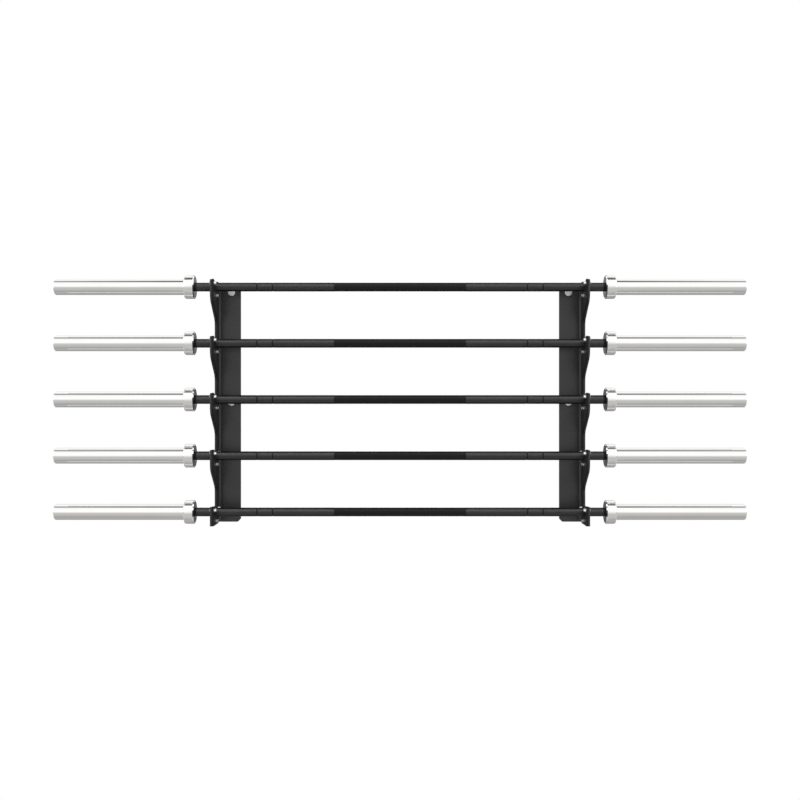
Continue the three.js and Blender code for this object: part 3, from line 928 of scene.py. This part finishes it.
def make_wall_bolts():
    """The bolts through the wall plates."""
    places = []
    for mirror in SIDES.values():
        for x, z in wall_bolt_places():
            places.append(((mirror * x, -STEEL_THICKNESS - SEAT_GAP, z), (math.pi / 2, 0, 0)))
    bolts = fasteners("wall_bolts", placed_tree("wall bolt", BOLT_LABELS, bolt_parts), places, {
        "Flats": WALL_BOLT_FLATS,
        "Head Height": WALL_BOLT_HEAD,
        "Shank Diameter": WALL_BOLT_DIAMETER,
        "Shank Length": STEEL_THICKNESS - 2 * SEAT_GAP,
        "Washer Diameter": WALL_WASHER_DIAMETER,
        "Washer Thickness": WALL_WASHER,
        "Least Spin": WALL_BOLT_SPIN[0],
        "Most Spin": WALL_BOLT_SPIN[1],
        "Seed": WALL_BOLT_SEED,
        "Finish": SATIN_ZINC,
    })
    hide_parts(*[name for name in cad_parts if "_wall_bolt_" in name])


make_liner_bolts()
make_wall_bolts()


# Barbells

def shaft_profile():
    """Half a shaft outwards from its middle: smooth grip, knurl and ring marks, shoulder and journal."""
    step = SHAFT_RADIUS - SMOOTH_RADIUS
    depth = SHAFT_RADIUS - MARK_RADIUS
    profile = [(KNURL_START - step, SMOOTH_RADIUS), (KNURL_START, SHAFT_RADIUS)]
    for mark in RING_MARKS:
        low = mark - MARK_WIDTH / 2
        high = mark + MARK_WIDTH / 2
        profile += [
            (low - depth, SHAFT_RADIUS),
            (low, MARK_RADIUS),
            (high, MARK_RADIUS),
            (high + depth, SHAFT_RADIUS),
        ]
    shoulder_x = collar_x + BUSHING_RECESS - CAP_FIT
    end_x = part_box("shaft_1")[1].x
    profile += [
        (KNURL_END, SHAFT_RADIUS),
        (KNURL_END + step, SMOOTH_RADIUS),
        (shoulder_x - step, SMOOTH_RADIUS),
        (shoulder_x, SMOOTH_RADIUS - step),
        (shoulder_x, JOURNAL_RADIUS),
        (end_x, JOURNAL_RADIUS),
        (end_x, 0),
    ]
    return profile


def is_knurled(x):
    """1 on a knurled stretch and 0 on a smooth one, for the material's index."""
    reach = abs(x)
    on_mark = any(abs(reach - mark) < MARK_WIDTH for mark in RING_MARKS)
    return int(KNURL_START < reach < KNURL_END and not on_mark)


def make_shaft(number, height):
    """One barbell's shaft, whole from journal to journal."""
    half = shaft_profile()
    profile = [(-x, radius) for x, radius in reversed(half)] + half
    bm = moved(turned(profile, material_at=is_knurled), (0, bar_y, height))
    shaft = finished(f"shaft_{number}_steel", bm, [SMOOTH_OXIDE, KNURLED_OXIDE])
    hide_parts(f"shaft_{number}")
    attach(shaft, f"bar_{number}")


def sleeve_profile():
    """The right sleeve: collar, loading length, the seat of its end cap, and its bore."""
    bushing_end = collar_x + BUSHING_RECESS + BUSHING_LENGTH
    collar_end = collar_x + COLLAR_WIDTH
    cap_seat = sleeve_end_x - CAP_SEAT_DEPTH
    return rounded([
        (collar_x, BUSHING_RADIUS, COLLAR_MOUTH_EDGE),
        (collar_x, COLLAR_RADIUS - COLLAR_CHAMFER, COLLAR_EDGE),
        (collar_x + COLLAR_CHAMFER, COLLAR_RADIUS, COLLAR_EDGE),
        (collar_end - COLLAR_CHAMFER, COLLAR_RADIUS, COLLAR_EDGE),
        (collar_end, COLLAR_RADIUS - COLLAR_CHAMFER, COLLAR_EDGE),
        (collar_end, SLEEVE_RADIUS, SLEEVE_FILLET),
        (sleeve_end_x - SLEEVE_END_CHAMFER, SLEEVE_RADIUS, SLEEVE_SHOULDER_EDGE),
        (sleeve_end_x, SLEEVE_RADIUS - SLEEVE_END_CHAMFER, SLEEVE_END_EDGE),
        (sleeve_end_x, CAP_RADIUS, SLEEVE_RIM_EDGE),
        (cap_seat, CAP_RADIUS, 0),
        (cap_seat, SLEEVE_BORE, 0),
        (bushing_end, SLEEVE_BORE, 0),
        (bushing_end, BUSHING_RADIUS, 0),
    ])


def end_cap_profile():
    """The right end cap: a shallow dish with a raised rim."""
    face = sleeve_end_x - CAP_RECESS - 2 * SNAP_WIRE
    radius = CAP_RADIUS - CAP_FIT
    return rounded([
        (face - CAP_THICKNESS, 0, 0),
        (face - CAP_THICKNESS, radius, 0),
        (face, radius, CAP_EDGE),
        (face, radius * CAP_RIM_SHARE, CAP_DISH_EDGE),
        (face - CAP_DISH_DEPTH, radius * CAP_FLOOR_SHARE, CAP_DISH_EDGE),
        (face - CAP_DISH_DEPTH, 0, 0),
    ], closed=False)


def bushing_profile():
    """The right bushing, with eased rims."""
    start = collar_x + BUSHING_RECESS
    end = start + BUSHING_LENGTH
    outer = BUSHING_RADIUS - SEAT_GAP
    corners = [(start, BUSHING_BORE), (start, outer), (end, outer), (end, BUSHING_BORE)]
    return rounded([(x, radius, BUSHING_EDGE) for x, radius in corners])


def snap_ring():
    """The open wire ring that holds the right end cap in."""
    bm = bmesh.new()
    centre = CAP_RADIUS - SNAP_WIRE
    loops = []
    for step in range(SNAP_STEPS + 1):
        turn = SNAP_GAP / 2 + (2 * math.pi - SNAP_GAP) * step / SNAP_STEPS
        loop = []
        for side in range(SNAP_SIDES):
            angle = 2 * math.pi * side / SNAP_SIDES
            reach = centre + SNAP_WIRE * math.cos(angle)
            x = sleeve_end_x - CAP_RECESS - SNAP_WIRE + SNAP_WIRE * math.sin(angle)
            loop.append(bm.verts.new((x, reach * math.sin(turn), -reach * math.cos(turn))))
        loops.append(loop)
    for one, other in zip(loops, loops[1:]):
        for side in range(SNAP_SIDES):
            following = (side + 1) % SNAP_SIDES
            bm.faces.new((one[side], one[following], other[following], other[side]))
    bm.faces.new(loops[0])
    bm.faces.new(reversed(loops[-1]))
    return bm


def make_end(side, mirror, number, height):
    """A sleeve with what turns with it: bushing, end cap and snap ring."""
    body = f"{side}_end_{number}"
    place = (0, bar_y, height)
    parts = [
        ("sleeve_chrome", turned(sleeve_profile(), closed=True), CHROME, "hard_chrome", "sleeve"),
        ("bushing_ring", turned(bushing_profile(), closed=True), BRONZE, "bronze", "bushing"),
        ("end_cap", turned(end_cap_profile()), CAP_STEEL, "black_oxide", None),
        ("snap_ring", snap_ring(), CAP_STEEL, "black_oxide", None),
    ]
    for part, bm, material, slot, replaced in parts:
        piece = finished(f"{side}_{part}_{number}", moved(bm, place, mirror), [material])
        if replaced:
            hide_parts(f"{side}_{replaced}_{number}")
        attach(piece, body)


for number, height in enumerate(bar_heights, 1):
    make_shaft(number, height)
    for side, mirror in SIDES.items():
        make_end(side, mirror, number, height)


# Floor and lights

def make_floor():
    """A pale floor under the rack. Reflections see the room's own lower tones instead."""
    corners = [
        (-FLOOR_HALF_WIDTH, FLOOR_FRONT, -FLOOR_DROP),
        (FLOOR_HALF_WIDTH, FLOOR_FRONT, -FLOOR_DROP),
        (FLOOR_HALF_WIDTH, FLOOR_BACK, -FLOOR_DROP),
        (-FLOOR_HALF_WIDTH, FLOOR_BACK, -FLOOR_DROP),
    ]
    mesh = bpy.data.meshes.new("floor")
    mesh.from_pydata(corners, [], [(0, 1, 2, 3)])
    mesh.materials.append(FLOOR)
    floor = bpy.data.objects.new("floor", mesh)
    floor.visible_glossy = False
    bpy.context.scene.collection.objects.link(floor)


def make_light(name, place, size, watts):
    """A soft rectangular light that looks at the rack and isn't mirrored in it."""
    data = bpy.data.lights.new(name, "AREA")
    data.shape = "RECTANGLE"
    data.size, data.size_y = size
    data.energy = watts
    light = bpy.data.objects.new(name, data)
    light.location = place
    light.rotation_euler = (Vector((0, bar_y, 0)) - Vector(place)).to_track_quat("-Z", "Y").to_euler()
    light.visible_glossy = False
    bpy.context.scene.collection.objects.link(light)


make_floor()
make_light("key", **KEY_LIGHT)
make_light("low_fill", **LOW_FILL)


# The room's tones in reflections, by the angle round the X axis in degrees: 0 is straight ahead of the
# rack, 90 is overhead and 180 is behind it. Between the hooks a bright band above and dark flags round it
# give the black parts their tones. Towards the sleeves' ends a dark seam overhead narrows.
BLACK_TONES = [
    (-180, 0.04),
    (-130, 0.05),
    (-107, 0.10),
    (-91, 0.22),
    (-80, 0.60),
    (-69, 0.85),
    (-50, 0.85),
    (-35, 0.65),
    (-20, 0.62),
    (-8, 0.68),
    (2, 0.78),
    (10, 0.92),
    (20, 1.02),
    (32, 1.10),
]
FLAG_TONES = [
    (92, 0.15),
    (100, 0.10),
    (130, 0.05),
    (180, 0.04),
]
SHAFT_TONES = [*BLACK_TONES, (42, 2.20), (48, 3.00), (70, 3.00), (77, 1.60), (84, 0.50), *FLAG_TONES]
HOOK_TONES = [*BLACK_TONES, (66, 1.10), (72, 0.80), (78, 0.30), *FLAG_TONES]
LOWER_TONES = [
    (-180, 0.12),
    (-165, 0.15),
    (-150, 0.42),
    (-125, 0.40),
    (-107, 0.47),
    (-91, 0.50),
    (-75, 0.42),
    (-60, 0.47),
    (-45, 0.59),
    (-28, 0.60),
    (-16, 0.64),
    (-10, 0.72),
    (-3, 0.90),
    (4, 1.10),
    (12, 1.20),
]
NEAR_SEAM = [
    (64, 1.20),
    (69, 0.80),
    (75, 0.20),
    (80, 0.10),
    (91, 0.10),
    (97, 0.30),
    (103, 0.80),
]
FAR_SEAM = [
    (66, 1.10),
    (72, 0.60),
    (77, 0.32),
    (87, 0.32),
    (93, 0.60),
    (99, 1.00),
]
HIGH_TONES = [
    (109, 1.10),
    (125, 1.15),
    (140, 1.15),
    (158, 0.80),
    (168, 0.40),
    (180, 0.12),
]
NEAR_TONES = [*LOWER_TONES, *NEAR_SEAM, *HIGH_TONES]
FAR_TONES = [*LOWER_TONES, *FAR_SEAM, *HIGH_TONES]

# The ramps hold each tone as a part of the peak, and the world multiplies the peak back in
ROOM_PEAK = 3.0
ROOM_WARMTH = (1.012, 1.0, 0.985)
DIFFUSE_ROOM = 0.80
HALF_TURN_DEGREES = 180

# Where one list gives way to the next, as the part of a reflected ray's way that goes along X
FLAG_REACH_SHARES = (0.145, 0.158)
NEAR_REACH_SHARES = (0.170, 0.180)
FAR_REACH_SHARES = (0.19, 0.29)
SIDE_REACH_SHARES = (0.55, 0.70)

# To the left and right the room is plain: one tone below, one above, and a bright strip above, where the ray
# runs along the barbells. Low gives way to high by the part of the ray's way that goes along Z, and the
# strip's middle and half width are parts that go along Y.
SIDE_LOW_TONE = 0.66
SIDE_HIGH_TONE = 0.80
STRIP_TONE = 1.80
SIDE_LEVEL_SHARES = (-0.1, 0.1)
STRIP_REACH_SHARES = (0.70, 0.78)
STRIP_MIDDLE_SHARE = 0.10
STRIP_HALF_WIDTH_SHARES = (0.28, 0.40)


def room_ramp(tree, turn_share, tones):
    """The room's tones along one list, as a colour. What lies below is a little warmer."""
    ramp = node(tree, "ShaderNodeValToRGB", {0: turn_share})
    elements = ramp.color_ramp.elements
    while len(elements) < len(tones):
        elements.new(0.5)
    for element, (degrees, level) in zip(elements, tones):
        tint = ROOM_WARMTH if degrees < 0 else grey(1)
        element.position = (degrees + HALF_TURN_DEGREES) / (2 * HALF_TURN_DEGREES)
        element.color = (*[level / ROOM_PEAK * part for part in tint], 1)
    return ramp.outputs[0]


def room_ahead(tree, parts, reach):
    """The room all round the X axis, from the lists for short reaches to the lists for long ones."""
    ahead = maths(tree, "MULTIPLY", parts["Y"], -1.0)
    angle = maths(tree, "ARCTAN2", parts["Z"], ahead)
    turn_share = rising(tree, angle, -math.pi, math.pi)
    lists = (SHAFT_TONES, HOOK_TONES, NEAR_TONES, FAR_TONES)
    shaft, hook, near, far = [room_ramp(tree, turn_share, tones) for tones in lists]
    outward = mixed(tree, rising(tree, reach, *FAR_REACH_SHARES), near, far)
    black = mixed(tree, rising(tree, reach, *FLAG_REACH_SHARES), shaft, hook)
    return mixed(tree, rising(tree, reach, *NEAR_REACH_SHARES), black, outward)


def room_aside(tree, parts, reach):
    """The room to the left and right, with the bright strip in its upper half."""
    low, high, bright = [grey(tone / ROOM_PEAK) for tone in (SIDE_LOW_TONE, SIDE_HIGH_TONE, STRIP_TONE)]
    aside = maths(tree, "ABSOLUTE", maths(tree, "SUBTRACT", parts["Y"], STRIP_MIDDLE_SHARE))
    strip = between(tree, aside, 1, 0, *STRIP_HALF_WIDTH_SHARES)
    strip_share = maths(tree, "MULTIPLY", strip, rising(tree, reach, *STRIP_REACH_SHARES))
    upper = mixed(tree, strip_share, high, bright)
    return mixed(tree, rising(tree, parts["Z"], *SIDE_LEVEL_SHARES), low, upper)


def make_world():
    """White for the camera, a toned studio for reflections and an even fill for everything else."""
    world = bpy.data.worlds.new("studio")
    world.use_nodes = True
    tree = world.node_tree
    tree.nodes.clear()
    coordinates = node(tree, "ShaderNodeTexCoord")
    way = node(tree, "ShaderNodeVectorMath", {0: coordinates.outputs["Generated"]}, operation="NORMALIZE")
    parts = node(tree, "ShaderNodeSeparateXYZ", {0: way.outputs[0]}).outputs
    reach = maths(tree, "ABSOLUTE", parts["X"])
    side_share = rising(tree, reach, *SIDE_REACH_SHARES)
    scaled = mixed(tree, side_share, room_ahead(tree, parts, reach), room_aside(tree, parts, reach))
    room = node(tree, "ShaderNodeVectorMath", {0: scaled, "Scale": ROOM_PEAK}, operation="SCALE").outputs[0]
    rays = node(tree, "ShaderNodeLightPath").outputs
    mirrored = maths(tree, "MAXIMUM", rays["Is Glossy Ray"], rays["Is Transmission Ray"])
    unseen = mixed(tree, mirrored, grey(DIFFUSE_ROOM), room)
    final = mixed(tree, rays["Is Camera Ray"], unseen, grey(1))
    background = node(tree, "ShaderNodeBackground", {"Color": final})
    node(tree, "ShaderNodeOutputWorld", {"Surface": background.outputs[0]})
    bpy.context.scene.world = world


make_world()
bpy.context.scene.view_settings.view_transform = "Standard"
